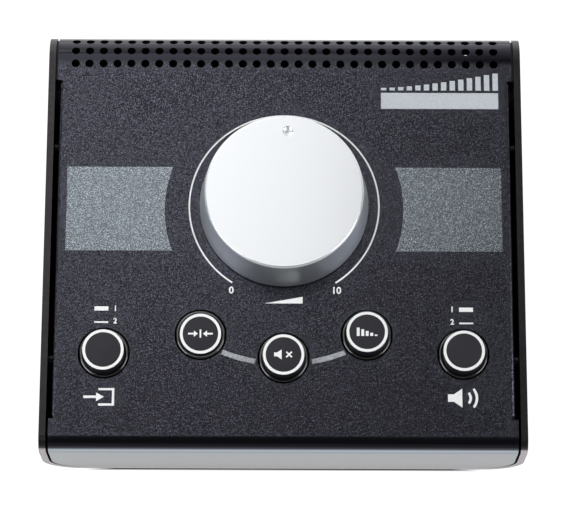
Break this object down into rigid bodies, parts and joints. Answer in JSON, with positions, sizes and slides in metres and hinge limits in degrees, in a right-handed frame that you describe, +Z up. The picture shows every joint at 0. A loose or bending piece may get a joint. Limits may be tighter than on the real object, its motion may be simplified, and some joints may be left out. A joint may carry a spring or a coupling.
{
  "type": "studio monitor controller",
  "caption": "Sloped desktop box with a large turning volume knob, round push-push buttons on the panel, vent holes and a row of phone jacks behind.",
  "frame": {"origin": "on the desk, under the middle of the object's box", "axes": "+Z up, +Y towards the back with the jacks, +X to the right as the user sees it"},
  "size_m": [0.1692, 0.157, 0.0716],
  "materials": {
    "black_powder_coat": "fine textured powder coat, charcoal black",
    "satin_aluminium": "bead-blasted and silver anodised, bright turned edge",
    "hub_plastic": "moulded nylon",
    "cap_plastic": "moulded, soft satin",
    "white_plastic": "moulded",
    "black_plastic": "moulded",
    "jack_plastic": "moulded, threaded bush",
    "nickel": "nickel plated",
    "bright_steel": "zinc plated",
    "black_steel": "black oxide",
    "tinned_brass": "tinned",
    "board_laminate": "glass epoxy with solder mask",
    "resistor_lacquer": "lacquered",
    "grey_cable": "vinyl flat cable",
    "foot_rubber": "moulded rubber"
  },
  "bodies": {
    "housing": {"attenuator_resistors": "resistor_lacquer", "base_screws": "black_steel", "bottom_shell": "black_powder_coat", "button_guides": "black_plastic", "control_board": "board_laminate", "control_board_screws": "black_steel", "control_board_studs": "bright_steel", "control_header": "black_plastic", "dim_switch": "black_plastic", "foot_front_left": "foot_rubber", "foot_front_right": "foot_rubber", "foot_rear_left": "foot_rubber", "foot_rear_right": "foot_rubber", "foot_screws": "black_steel", "jack_board": "board_laminate", "jack_board_posts": "bright_steel", "jack_board_screws": "black_steel", "jack_header": "black_plastic", "jack_nuts": "nickel", "jack_washers": "nickel", "monitor_a_left_jack": "jack_plastic", "monitor_a_right_jack": "jack_plastic", "monitor_b_left_jack": "jack_plastic", "monitor_b_right_jack": "jack_plastic", "monitor_switch": "black_plastic", "mono_switch": "black_plastic", "mute_switch": "black_plastic", "pot_bushing": "bright_steel", "pot_gang_1": "black_plastic", "pot_gang_2": "black_plastic", "pot_gang_3": "black_plastic", "pot_gang_4": "black_plastic", "pot_nut": "bright_steel", "pot_terminals": "tinned_brass", "pot_washer": "bright_steel", "ribbon_cable": "grey_cable", "side_screws": "black_steel", "small_jack": "jack_plastic", "small_jack_nut": "nickel", "source_a_left_jack": "jack_plastic", "source_a_right_jack": "jack_plastic", "source_b_left_jack": "jack_plastic", "source_b_right_jack": "jack_plastic", "source_switch": "black_plastic", "top_cover": "black_powder_coat"},
    "volume_dial": {"volume_knob": "satin_aluminium", "knob_hub": "hub_plastic", "pot_shaft": "bright_steel"},
    "source_button": {"source_cap": "cap_plastic", "source_plunger": "white_plastic"},
    "mono_button": {"mono_cap": "cap_plastic", "mono_plunger": "white_plastic"},
    "mute_button": {"mute_cap": "cap_plastic", "mute_plunger": "white_plastic"},
    "dim_button": {"dim_cap": "cap_plastic", "dim_plunger": "white_plastic"},
    "monitor_button": {"monitor_cap": "cap_plastic", "monitor_plunger": "white_plastic"}
  },
  "joints": [
    {"name": "volume_turn", "type": "hinge", "parent": "housing", "child": "volume_dial", "pos_m": [0, 0.00741, 0.04961], "axis": [0, -0.1736, 0.9848], "range_deg": [-144.7, 151.3]},
    {"name": "source_press", "type": "slide", "parent": "housing", "child": "source_button", "axis": [0, 0.1736, -0.9848], "range_m": [0, 0.0042], "stiffness_N_per_m": 350},
    {"name": "mono_press", "type": "slide", "parent": "housing", "child": "mono_button", "axis": [0, 0.1736, -0.9848], "range_m": [-0.0035, 0.0007], "stiffness_N_per_m": 350},
    {"name": "mute_press", "type": "slide", "parent": "housing", "child": "mute_button", "axis": [0, 0.1736, -0.9848], "range_m": [0, 0.0042], "stiffness_N_per_m": 350},
    {"name": "dim_press", "type": "slide", "parent": "housing", "child": "dim_button", "axis": [0, 0.1736, -0.9848], "range_m": [0, 0.0042], "stiffness_N_per_m": 350},
    {"name": "monitor_press", "type": "slide", "parent": "housing", "child": "monitor_button", "axis": [0, 0.1736, -0.9848], "range_m": [0, 0.0042], "stiffness_N_per_m": 350}
  ]
}
